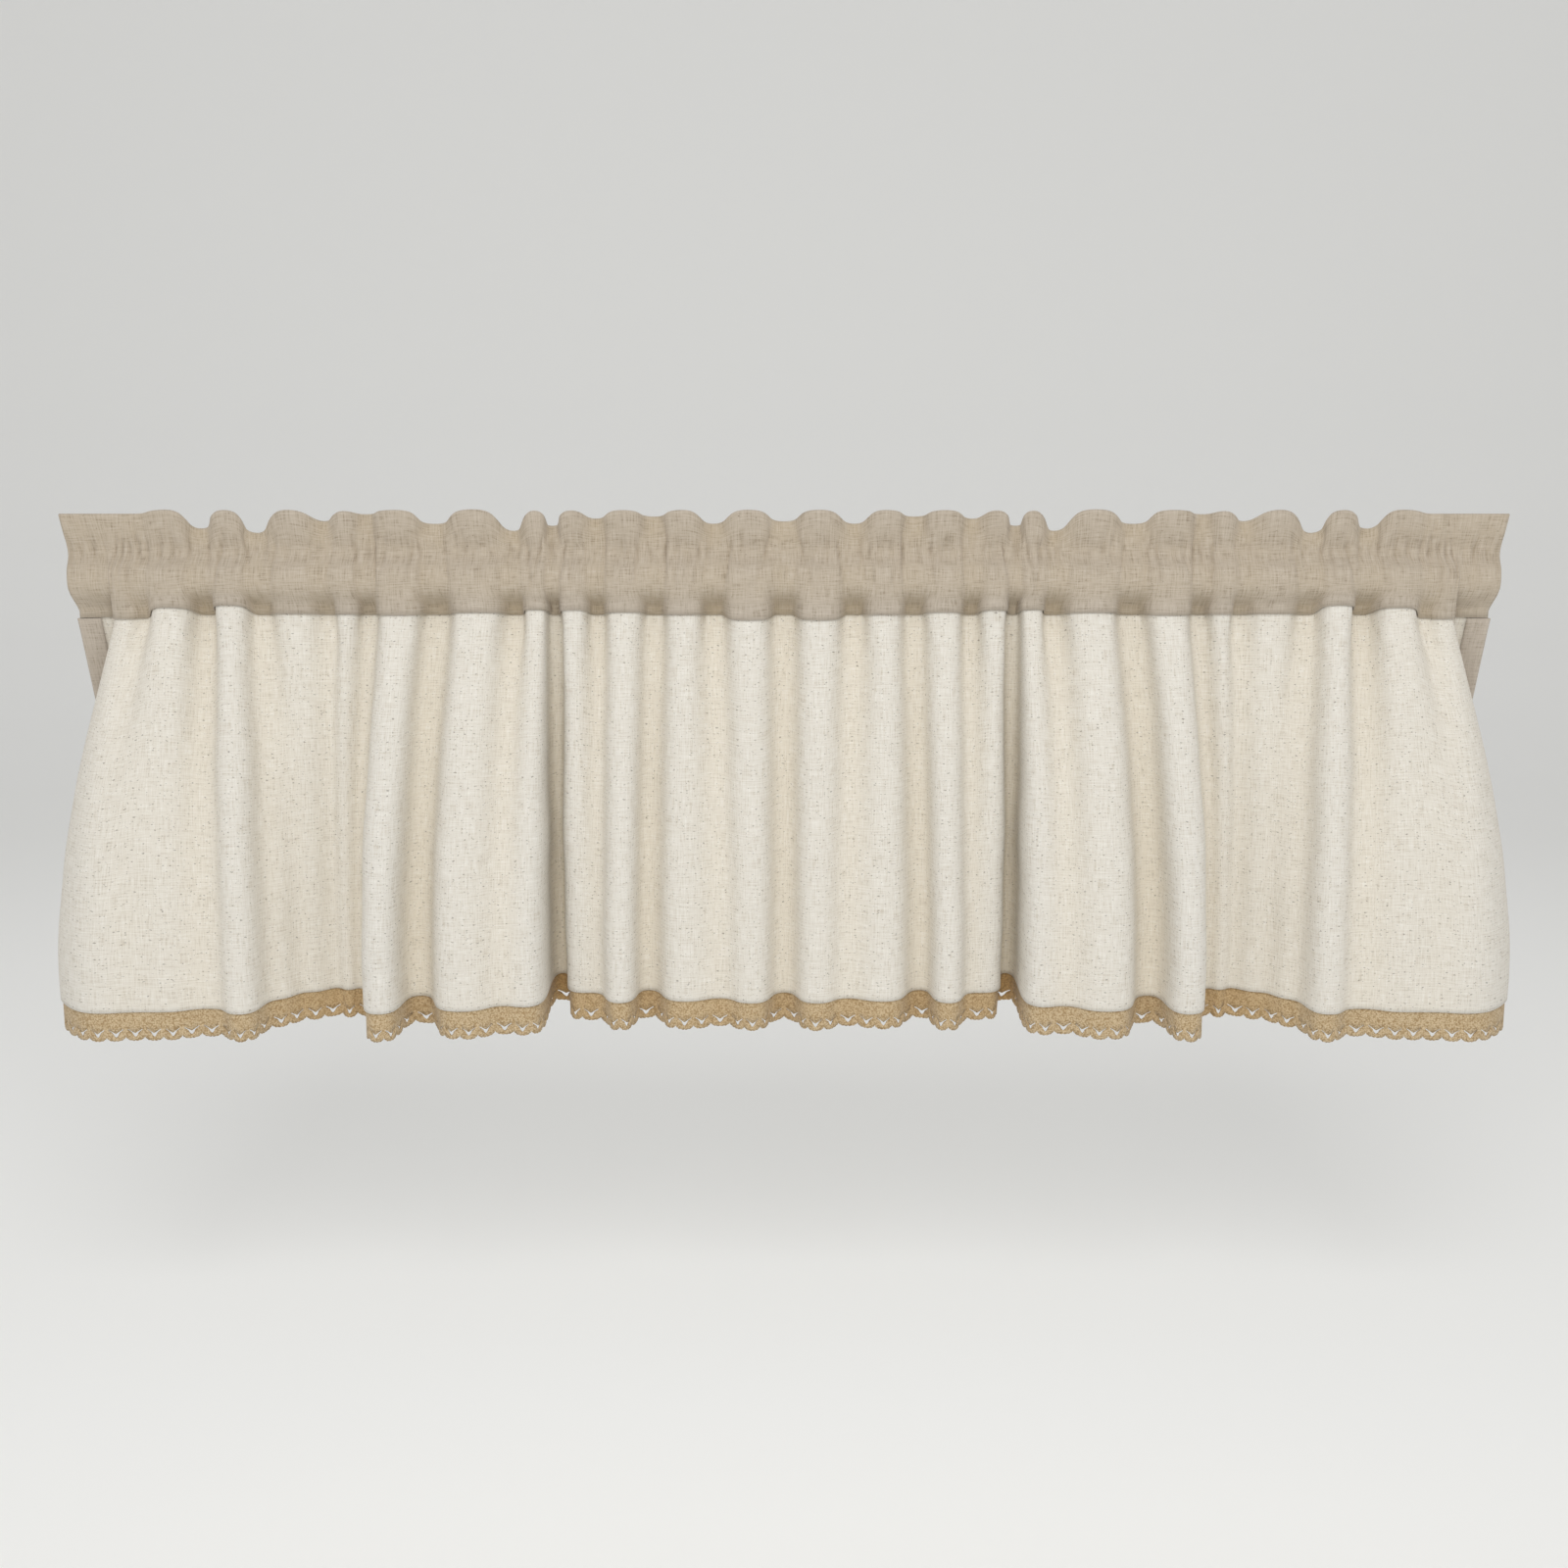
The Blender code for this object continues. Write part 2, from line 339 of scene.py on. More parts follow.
# ---- The folds ----
@dataclass
class FoldMap:
    """Control lines of the hanging cloth across its whole width."""

    drop: float = 0.450  # top edge to the lowest lace
    lace_shown: float = 0.026  # lace below the hem
    waist_z: float = -0.035  # gathering line
    waist_flatten: float = 0.1  # share of the seam's fold depth that is left there
    front_hem_y: float = -0.051  # the foremost fold, which hangs lowest
    hem_rise: float = 0.07  # rise for each metre that the cloth swings back

    def left_half(self) -> tuple[np.ndarray, np.ndarray, np.ndarray]:
        """Return control points of the frill, seam and hem of the left half, in millimetres."""
        frill = [(t.frill_x, TURN_FRILL_Y, TURN_FRILL_Z) for t in TURNS]
        seam = [(t.seam_x, t.seam_y, TURN_SEAM_Z) for t in TURNS]
        hem = [(t.hem_x, t.hem_y, 0.0) for t in TURNS]
        seam_fit = -TURNS[-1].seam_x / sum(fold.seam_width for fold in FOLDS)
        hem_fit = -TURNS[-1].hem_x / sum(fold.hem_width for fold in FOLDS)
        for fold in FOLDS:
            (seam_x, left_seam_y, left_seam_z), (hem_x, left_hem_y, _) = seam[-1], hem[-1]
            left_frill_y, left_frill_z = frill[-1][1:]
            for across, rise in FOLD_PROFILE:
                left = across < 0.5
                x = seam_x + across * fold.seam_width * seam_fit
                frill.append((
                    x, mix(left_frill_y if left else HOLLOW_FRILL_Y, CREST_FRILL_Y, rise),
                    mix(left_frill_z if left else -fold.notch, 0.0, rise),
                ))
                seam.append((
                    x, mix(left_seam_y if left else HOLLOW_SEAM_Y, fold.seam_crest, rise),
                    mix(left_seam_z if left else HOLLOW_SEAM_Z, fold.seam_z, rise),
                ))
                hem.append((
                    hem_x + across * fold.hem_width * hem_fit,
                    mix(left_hem_y if left else fold.hem_hollow, fold.hem_crest, rise), 0.0,
                ))
        return np.array(frill), np.array(seam), np.array(hem)

    def frill(self) -> np.ndarray:
        """Return the top edge of the frill."""
        return whole_width(self.left_half()[0] * MM)

    def seam(self) -> np.ndarray:
        """Return the seam between heading and panel."""
        return whole_width(self.left_half()[1] * MM)

    def waist(self) -> np.ndarray:
        """Return the gathering line between frill and pocket."""
        frill, seam = self.frill(), self.seam()
        line = 0.5 * (frill + seam)
        line[:, 1] = self.waist_flatten * seam[:, 1]
        line[:, 2] = self.waist_z
        return line

    def hem(self) -> np.ndarray:
        """Return the panel's lower edge."""
        rows = self.left_half()[2] * MM
        rows[:, 2] = self.lace_shown - self.drop + self.hem_rise * (rows[:, 1] - self.front_hem_y)
        return whole_width(rows)

    def columns(self, total: int) -> np.ndarray:
        """Share out columns to the spans by their length.

        Args:
            total: Roughly how many columns the whole width gets.

        Returns:
            Columns on each span, at least 2.
        """
        spans = np.linalg.norm(np.diff(self.hem(), axis=0), axis=1)
        spans += np.linalg.norm(np.diff(self.seam(), axis=0), axis=1)
        return np.maximum(2, np.round(total * spans / spans.sum())).astype(int)

    def level(self, share: float) -> np.ndarray:
        """Return the control line at a share of the way from seam to hem."""
        seam, hem = self.seam(), self.hem()
        line = seam + (hem - seam) * math.sin(0.5 * math.pi * share)
        line[:, 2] = seam[:, 2] + (hem[:, 2] - seam[:, 2]) * share
        return line


@dataclass
class Crease:
    """A sharp hollow where cloth is drawn in by a stitch line."""

    place: float
    depth: float
    width: float
    above: float
    below: float
    slant: float
    widening: float = 0.9  # how much wider it is, as a share, one reach from the line

    def depth_at(self, across: np.ndarray, height: np.ndarray) -> np.ndarray:
        """Return how far the cloth sinks.

        Args:
            across: Rough distance along the stitch line from the middle of the curtain.
            height: Height above the stitch line, negative below it.

        Returns:
            Depth in metres, of the arrays' shape.
        """
        reach = np.where(height > 0.0, self.above, self.below)
        fade = np.exp(-((height / reach) ** 2))
        offset = np.abs(across - self.place - self.slant * height)
        widen = self.width * (1.0 + self.widening * np.abs(height) / reach)
        return self.depth * fade * np.exp(-offset / widen)


@dataclass(frozen=True)
class Gathering:
    """Creases scattered along a stitch line, each size drawn between its least and its most."""

    seed: int
    half: float  # half the length of the stitch line
    gap: tuple[float, float]
    depth: tuple[float, float]
    width: tuple[float, float]
    above: tuple[float, float]  # reach above the line
    below: tuple[float, float]  # reach below the line
    slant: tuple[float, float] = (-0.3, 0.3)
    first_gap: float = 0.4  # share of the least gap between the middle and the first crease

    def scatter(self) -> list[Crease]:
        """Return the creases of both halves, which mirror each other."""
        draw = np.random.RandomState(self.seed)
        bounds = (self.depth, self.width, self.above, self.below, self.slant)
        made = []
        place = self.first_gap * self.gap[0]
        while place < self.half:
            *sizes, slant = [draw.uniform(*pair) for pair in bounds]
            made.append(Crease(place, *sizes, slant))
            made.append(Crease(-place, *sizes, -slant))
            place += draw.uniform(*self.gap)
        return made


def total_depth(creases: list[Crease], across: np.ndarray, height: np.ndarray) -> np.ndarray:
    """Add up the depths of creases over the cloth.

    Args:
        creases: The creases of one stitch line.
        across: Rough distance along the stitch line from the middle of the curtain.
        height: Height above the stitch line, negative below it.

    Returns:
        Depth in metres at each point.
    """
    depth = np.zeros(np.broadcast(across, height).shape)
    for crease in creases:
        depth += crease.depth_at(across, height)
    return depth


def crumple(rows: np.ndarray, size: float, stretch: float, seed: float) -> np.ndarray:
    """Return soft noise from -1 to 1 over the cloth, the same on both halves.

    Args:
        rows: Points of the cloth.
        size: Width of one soft dent.
        stretch: How many times longer than wide a dent is, downwards.
        seed: Offset into the noise.

    Returns:
        One value for each point.
    """
    flat = rows.reshape(-1, 3)
    made = [noise.noise(Vector((abs(p[0]) / size, seed, p[2] / size / stretch))) for p in flat]
    return np.array(made).reshape(rows.shape[:2])


# ---- Finishes ----
def linear(code: str) -> tuple[float, ...]:
    """Turn an sRGB hex code into linear RGBA."""
    parts = [int(code[i:i + 2], 16) / 255.0 for i in (1, 3, 5)]
    low = [c / 12.92 if c <= 0.04045 else ((c + 0.055) / 1.055) ** 2.4 for c in parts]
    return (*low, 1.0)


def add_node(tree: bpy.types.NodeTree, kind: str, settings: dict, links: dict) -> bpy.types.Node:
    """Add a node.

    Args:
        tree: The material's node tree.
        kind: The node's type name.
        settings: Attributes, or inputs by name or number, and their values.
        links: Inputs by name or number, and the output sockets that feed them.

    Returns:
        The node.
    """
    node = tree.nodes.new(kind)
    for key, value in settings.items():
        if isinstance(key, str) and hasattr(node, key):
            setattr(node, key, value)
        else:
            node.inputs[key].default_value = value
    for key, source in links.items():
        tree.links.new(source, node.inputs[key])
    return node


def empty_material(name: str) -> bpy.types.Material:
    """Return a new material whose node tree is empty."""
    made = bpy.data.materials.new(name)
    made.use_nodes = True
    made.node_tree.nodes.clear()
    return made


@dataclass(frozen=True)
class LinenFinish:
    """Plain-woven cotton and linen: matt, with slubs both ways and stray dark fibres."""

    name: str
    base: str
    # colour of the painted warm bounce light and shade in the hollows
    hollow: str
    pale_slub: str
    dark_slub: str
    fleck: str
    fleck_level: float = 0.66  # noise above this is a fleck, so higher means fewer
    sheer: float = 0.12  # share of the light that comes through the cloth
    thread_mm: float = 1.1  # drawn about twice as coarse as the real thread, so that it shows
    slub_mm: float = 16.0  # length of a thick place in a thread
    pale_range: tuple[float, float] = (0.52, 0.66)  # noise where pale slubs start and are full
    dark_range: tuple[float, float] = (0.48, 0.36)
    slub_strength: float = 0.75
    fleck_grain: tuple[float, float, float] = (340.0, 620.0, 1.0)  # to a metre, across and down
    fleck_edge: float = 0.06
    fleck_strength: float = 0.6
    weave_height: float = 0.0006
    weave_bump: float = 0.35
    roughness: float = 0.93
    specular: float = 0.2
    sheen: float = 0.15
    sheen_roughness: float = 0.6

    def streaks(
        self, tree: bpy.types.NodeTree, cloth: bpy.types.NodeSocket, thread: Thread
    ) -> bpy.types.Node:
        """Add long thin noise along one set of threads.

        Args:
            tree: The material's node tree.
            cloth: Output that gives the place on the cloth in metres.
            thread: The set of threads that the noise runs along.

        Returns:
            The noise.
        """
        fine, coarse = 1000.0 / self.thread_mm, 1000.0 / self.slub_mm
        scale = (coarse, fine, 1.0) if thread is Thread.WEFT else (fine, coarse, 1.0)
        spread = add_node(tree, "ShaderNodeMapping", {"Scale": scale}, {"Vector": cloth})
        return add_node(
            tree, "ShaderNodeTexNoise", {"Scale": 1.0, "Detail": 3.0, "Roughness": 0.6},
            {"Vector": spread.outputs[0]},
        )

    def weave(self, tree: bpy.types.NodeTree, cloth: bpy.types.NodeSocket) -> bpy.types.Node:
        """Add the mean of the weft's and the warp's streaks.

        Args:
            tree: The material's node tree.
            cloth: Output that gives the place on the cloth in metres.

        Returns:
            The mean, which is both the slubs' colour mask and the height of the threads.
        """
        weft, warp = self.streaks(tree, cloth, Thread.WEFT), self.streaks(tree, cloth, Thread.WARP)
        half = add_node(tree, "ShaderNodeMath", {"operation": "MULTIPLY", 1: 0.5}, {0: warp.outputs[0]})
        return add_node(
            tree, "ShaderNodeMath", {"operation": "MULTIPLY_ADD", 1: 0.5},
            {0: weft.outputs[0], 2: half.outputs[0]},
        )

    def flecks(self, tree: bpy.types.NodeTree, cloth: bpy.types.NodeSocket) -> bpy.types.Node:
        """Add a mask of stray fibres.

        Args:
            tree: The material's node tree.
            cloth: Output that gives the place on the cloth in metres.

        Returns:
            The mask.
        """
        spread = add_node(tree, "ShaderNodeMapping", {"Scale": self.fleck_grain}, {"Vector": cloth})
        dots = add_node(
            tree, "ShaderNodeTexNoise", {"Scale": 1.0, "Detail": 1.0}, {"Vector": spread.outputs[0]}
        )
        full = self.fleck_level + self.fleck_edge
        return add_node(
            tree, "ShaderNodeMapRange", {1: self.fleck_level, 2: full, 3: 0.0, 4: self.fleck_strength},
            {0: dots.outputs[0]},
        )

    def material(self) -> bpy.types.Material:
        """Build the finish: painted warm bounce light and shade in the hollows, then slubs and flecks, in
        turn over the base colour.
        """
        made = empty_material(self.name)
        tree = made.node_tree
        cloth = add_node(tree, "ShaderNodeUVMap", {"uv_map": CLOTH_MAP}, {}).outputs[0]
        weave = self.weave(tree, cloth)
        # Painted warm bounce light and shade: the hollow colour mixed over the base where the cloth lies
        # in a hollow
        painted_shading = add_node(tree, "ShaderNodeAttribute", {"attribute_name": PAINTED_SHADING}, {})
        colour = add_node(
            tree, "ShaderNodeMix", {"data_type": "RGBA", 6: linear(self.base), 7: linear(self.hollow)},
            {0: painted_shading.outputs["Fac"]},
        )
        pale, dark = [
            add_node(
                tree, "ShaderNodeMapRange", {1: start, 2: full, 3: 0.0, 4: self.slub_strength},
                {0: weave.outputs[0]},
            )
            for start, full in (self.pale_range, self.dark_range)
        ]
        tones = ((self.pale_slub, pale), (self.dark_slub, dark), (self.fleck, self.flecks(tree, cloth)))
        for tone, mask in tones:
            colour = add_node(
                tree, "ShaderNodeMix", {"data_type": "RGBA", 7: linear(tone)},
                {0: mask.outputs[0], 6: colour.outputs[2]},
            )
        bump = add_node(
            tree, "ShaderNodeBump", {"Strength": self.weave_bump, "Distance": self.weave_height},
            {"Height": weave.outputs[0]},
        )
        surface = add_node(
            tree, "ShaderNodeBsdfPrincipled",
            {
                "Roughness": self.roughness, "Specular IOR Level": self.specular,
                "Sheen Weight": self.sheen, "Sheen Roughness": self.sheen_roughness,
            },
            {"Base Color": colour.outputs[2], "Normal": bump.outputs[0]},
        )
        glow = add_node(
            tree, "ShaderNodeBsdfTranslucent", {}, {"Color": colour.outputs[2], "Normal": bump.outputs[0]}
        )
        mixed = add_node(
            tree, "ShaderNodeMixShader", {0: self.sheer}, {1: surface.outputs[0], 2: glow.outputs[0]}
        )
        add_node(tree, "ShaderNodeOutputMaterial", {}, {0: mixed.outputs[0]})
        return made


@dataclass(frozen=True)
class LaceFinish:
    """Crocheted cotton: matt and knotted, tan, with painted shade in the gaps between the knots and where
    the lace lies further back.
    """

    name: str = "crocheted_cotton"
    base: str = "#CAB593"
    # darker colour of the worn patches and of the painted shade in the gaps between knots
    mottle_and_gap_shade: str = "#94784F"
    # colour of the painted shade where the lace lies further back
    hollow: str = "#BC9A68"
    knot_mm: float = 1.5
    knot_unevenness: float = 0.7
    mottle_scale: float = 0.35  # patches to a knot
    patch_range: tuple[float, float, float] = (0.45, 0.75, 0.45)  # start, full, strength
    # painted shade in the gaps between knots
    gap_range: tuple[float, float, float] = (0.42, 0.75, 0.8)
    knot_height: float = 0.0008
    knot_bump: float = 0.8
    roughness: float = 0.9
    specular: float = 0.2
    sheen: float = 0.15

    def material(self) -> bpy.types.Material:
        """Build the finish: painted shade in the hollows, worn patches and painted shade in the gaps
        between knots, in turn over the base colour.
        """
        made = empty_material(self.name)
        tree = made.node_tree
        cloth = add_node(tree, "ShaderNodeUVMap", {"uv_map": CLOTH_MAP}, {}).outputs[0]
        knots_to_metre = 1000.0 / self.knot_mm
        spread = add_node(
            tree, "ShaderNodeMapping", {"Scale": (knots_to_metre, knots_to_metre, 1.0)}, {"Vector": cloth}
        )
        knots = add_node(
            tree, "ShaderNodeTexVoronoi", {"Scale": 1.0, "Randomness": self.knot_unevenness},
            {"Vector": spread.outputs[0]},
        )
        mottle = add_node(
            tree, "ShaderNodeTexNoise", {"Scale": self.mottle_scale, "Detail": 3.0},
            {"Vector": spread.outputs[0]},
        )
        # Painted shade: the hollow colour over the base where the lace lies further back
        painted_shading = add_node(tree, "ShaderNodeAttribute", {"attribute_name": PAINTED_SHADING}, {})
        colour = add_node(
            tree, "ShaderNodeMix", {"data_type": "RGBA", 6: linear(self.base), 7: linear(self.hollow)},
            {0: painted_shading.outputs["Fac"]},
        )
        # Worn patches, then painted shade in the gaps between knots
        for pattern, (start, full, strength) in ((mottle, self.patch_range), (knots, self.gap_range)):
            mask = add_node(
                tree, "ShaderNodeMapRange", {1: start, 2: full, 3: 0.0, 4: strength},
                {0: pattern.outputs[0]},
            )
            colour = add_node(
                tree, "ShaderNodeMix", {"data_type": "RGBA", 7: linear(self.mottle_and_gap_shade)},
                {0: mask.outputs[0], 6: colour.outputs[2]},
            )
        bump = add_node(
            tree, "ShaderNodeBump",
            {"Strength": self.knot_bump, "Distance": self.knot_height, "invert": True},
            {"Height": knots.outputs[0]},
        )
        surface = add_node(
            tree, "ShaderNodeBsdfPrincipled",
            {"Roughness": self.roughness, "Specular IOR Level": self.specular, "Sheen Weight": self.sheen},
            {"Base Color": colour.outputs[2], "Normal": bump.outputs[0]},
        )
        add_node(tree, "ShaderNodeOutputMaterial", {}, {0: surface.outputs[0]})
        return made


# Undyed cotton and linen cloth: soft off-white, with dark husk flecks; the warmer hollow colour is painted
# bounce light
CREAM_LINEN = LinenFinish(
    "cream_cotton_linen_weave", base="#E3E0D9", hollow="#E9DEC8", pale_slub="#F6F3EC",
    dark_slub="#C9BFAE", fleck="#6E6152", sheer=0.16,
)
# Heavier dyed linen: greyish taupe, denser, so less light comes through and fewer flecks show; the warmer
# hollow colour is painted warm shade
TAUPE_LINEN = LinenFinish(
    "taupe_linen_weave", base="#B9AEA0", hollow="#BAA98C", pale_slub="#CBC1B3",
    dark_slub="#8E806D", fleck="#6E6150", fleck_level=0.72, sheer=0.08,
)


# ---- Sub-assemblies ----
@dataclass
class Panel:
    """The cream panel: one sheet from the tucked seam edge to the hem."""

    folds: FoldMap
    thickness: float = 0.0012
    total_columns: int = 540
    row_count: int = 80
    row_bias: float = 1.05  # above 1, rows lie closer together near the seam
    tuck: float = 0.005  # cloth hidden between the heading's layers
    soft_columns: int = 9  # columns that a fold's corner is softened over
    soft_below: float = 0.05  # the corners are fully softened this far below the seam
    pucker_below: float = 0.012  # the puckers are full this far below the seam
    dent: float = 0.0013  # depth of the soft dents
    dent_width: float = 0.034
    dent_stretch: float = 1.8
    dent_seed: float = 3.0
    dent_below: float = 0.10  # the dents are full this far below the seam
    hollow_depth: float = 0.060
    puckers: Gathering = Gathering(
        seed=5, half=0.82, gap=(0.009, 0.021), depth=(0.0004, 0.0016), width=(0.0022, 0.0042),
        above=(0.004, 0.005), below=(0.02, 0.12),
    )
    creases: list[Crease] = field(init=False)

    def __post_init__(self) -> None:
        """Scatter the puckers once, so that each piece that follows the panel meets the same."""
        self.creases = self.puckers.scatter()

    def surface(self, shares: np.ndarray) -> np.ndarray:
        """Return the middle surface, with its puckers and dents.

        Args:
            shares: Shares of the way from seam to hem, the first of them 0.

        Returns:
            A row of points for each share.
        """
        lines = np.array([self.folds.level(share) for share in shares])
        rows = smooth_rows(lines, self.folds.columns(self.total_columns))
        seam = rows[0]
        across = seam[:, 0][None, :] * FULLNESS
        below = rows[..., 2] - seam[None, :, 2]
        free = np.clip(-below / self.soft_below, 0.0, 1.0)[..., None]
        rows = rows + (rounded(rows, self.soft_columns) - rows) * free
        sink = total_depth(self.creases, across, below)
        tied = np.clip(-below / self.pucker_below, 0.0, 1.0)
        loose = np.clip(-below / self.dent_below, 0.0, 1.0)
        dents = crumple(rows, self.dent_width, self.dent_stretch, self.dent_seed)
        return shifted(rows, sink * tied + dents * self.dent * loose)

    def build(self) -> bpy.types.Object:
        """Build and return the panel."""
        shares = np.linspace(0.0, 1.0, self.row_count) ** self.row_bias
        rows = self.surface(shares)
        top = rows[:1] + np.array([0.0, 0.0, self.tuck])
        rows = np.concatenate([top, rows])
        painted_shading = hollow_share(rows, self.hollow_depth)
        return cloth_object("cream_panel", rows, self.thickness, cloth_map(rows), painted_shading)


@dataclass
class Heading:
    """The taupe band, folded double over the top edge: frill, gathering line and rod pocket."""

    folds: FoldMap
    thickness: float = 0.0009
    total_columns: int = 700
    layer_offset: float = 0.0019  # each layer from the panel's middle, at the seam
    frill_offset: float = 0.0011  # each layer from the middle, in the frill
    pocket_bulge: float = 0.014  # each pocket wall stands this far from the middle
    pocket_flatten: float = 0.45  # share of the fold depth that is left over the rod
    pocket_low: float = -0.064  # the pocket is fullest between these two heights
    pocket_high: float = -0.049
    seam_lap: float = 0.006
    soft_columns: int = 9
    rows_up: tuple[int, ...] = (1, 4, 5, 6, 6, 6)  # seam, lap, low, high, waist, middle, top
    free_above: float = 0.02  # the gathers are full this far above the lap
    ridge_rise: float = 0.3 * MM  # the fold at the top edge above its two layers
    layer_drop: float = 0.4 * MM
    hollow_depth: float = 0.034
    gathers: Gathering = Gathering(
        seed=11, half=0.83, gap=(0.0065, 0.0150), depth=(0.0022, 0.0060), width=(0.0011, 0.0022),
        above=(0.008, 0.022), below=(0.010, 0.034),
    )

    def pocket_line(self, height: float, side: Side) -> np.ndarray:
        """Return a control line of a pocket wall.

        Args:
            height: Height of the line.
            side: The wall that the line lies on.

        Returns:
            Control points across the whole width.
        """
        line = 0.5 * (self.folds.seam() + self.folds.waist())
        line[:, 1] = self.pocket_flatten * line[:, 1] + side.value * self.pocket_bulge
        line[:, 2] = height
        return line

    def layer(self, side: Side, creases: list[Crease]) -> np.ndarray:
        """Return one layer of the folded strip.

        Args:
            side: The layer.
            creases: The gathers, the same for both layers.

        Returns:
            Rows of points from the seam to the top edge.
        """
        steps = self.folds.columns(self.total_columns)
        lines = smooth_rows(
            np.array([
                self.folds.seam(), self.pocket_line(self.pocket_low, side),
                self.pocket_line(self.pocket_high, side), self.folds.waist(), self.folds.frill(),
            ]), steps,
        )
        lines[1:] = rounded(lines[1:], self.soft_columns)
        seam = shifted(lines[:1], side.value * self.layer_offset)
        lap = seam + np.array([0.0, 0.0, self.seam_lap])
        waist = shifted(lines[3:4], side.value * self.frill_offset)
        frill = shifted(lines[4:5], side.value * self.frill_offset)
        mid = waist + (frill - waist) * 0.5
        stations = np.concatenate([seam, lap, lines[1:3], waist, mid, frill])
        rows = smooth_rows(stations.transpose(1, 0, 2), np.array(self.rows_up))
        rows = rows.transpose(1, 0, 2)
        across = lines[3][:, 0][None, :] * FULLNESS
        height = rows[..., 2] - self.folds.waist_z
        sink = total_depth(creases, across, height)
        above_lap = rows[..., 2] - rows[:1, :, 2] - self.seam_lap
        return shifted(rows, sink * np.clip(above_lap / self.free_above, 0.0, 1.0))

    def build(self) -> bpy.types.Object:
        """Build and return the heading."""
        creases = self.gathers.scatter()
        front, back = self.layer(Side.FRONT, creases), self.layer(Side.BACK, creases)
        ridge = 0.5 * (front[-1:] + back[-1:]) + np.array([0.0, 0.0, self.ridge_rise])
        front[-1, :, 2] -= self.layer_drop
        back[-1, :, 2] -= self.layer_drop
        rows = np.concatenate([front, ridge, back[::-1]])
        painted_shading = hollow_share(rows, self.hollow_depth)
        return cloth_object("gathered_heading", rows, self.thickness, cloth_map(rows), painted_shading)


@dataclass
class SideBand:
    """A taupe strip folded round one side edge of the panel."""

    panel: Panel
    end: End
    width: float = 0.017
    thickness: float = 0.0009
    offset: float = 0.0021  # from the panel's middle, on both faces and past its edge
    leg_columns: int = 7
    turn_columns: int = 7  # columns of the half turn round the edge, its two ends included
    row_count: int = 60
    reach_down: float = 0.98  # share of the way to the hem, where the lace starts
    top_gap: float = 0.6 * MM  # below the heading

    def build(self) -> bpy.types.Object:
        """Build and return the band."""
        rows = self.panel.surface(np.linspace(0.0, self.reach_down, self.row_count))
        if self.end is End.RIGHT:
            rows = rows[:, ::-1]
        loops = np.array([self.loop(row) for row in rows])
        loops[0, :, 2] -= self.top_gap
        name = f"side_band_cover_{self.end.value}"
        return cloth_object(name, loops, self.thickness, cloth_map(loops), np.zeros(loops.shape[:2]))

    def loop(self, row: np.ndarray) -> np.ndarray:
        """Return the band's plan round the cloth's edge at one height.

        Args:
            row: Points of the panel at that height, from the covered edge inwards.

        Returns:
            One leg, the half turn round the edge, and the other leg.
        """
        reach = np.linspace(self.width, 0.0, self.leg_columns)
        leg = points_at(reach, run_lengths(row), row)
        ahead = leg[-1] - leg[-2]
        ahead[2] = 0.0
        ahead /= np.linalg.norm(ahead)
        left = np.array([-ahead[1], ahead[0], 0.0]) * self.offset
        angles = np.linspace(0.0, math.pi, self.turn_columns)[1:-1]
        turn = [leg[-1] + left * math.cos(a) + ahead * self.offset * math.sin(a) for a in angles]
        left_leg = shifted(leg[None], self.offset)[0]
        right_leg = shifted(leg[None], -self.offset)[0]
        return np.vstack([left_leg, turn, right_leg[::-1]])


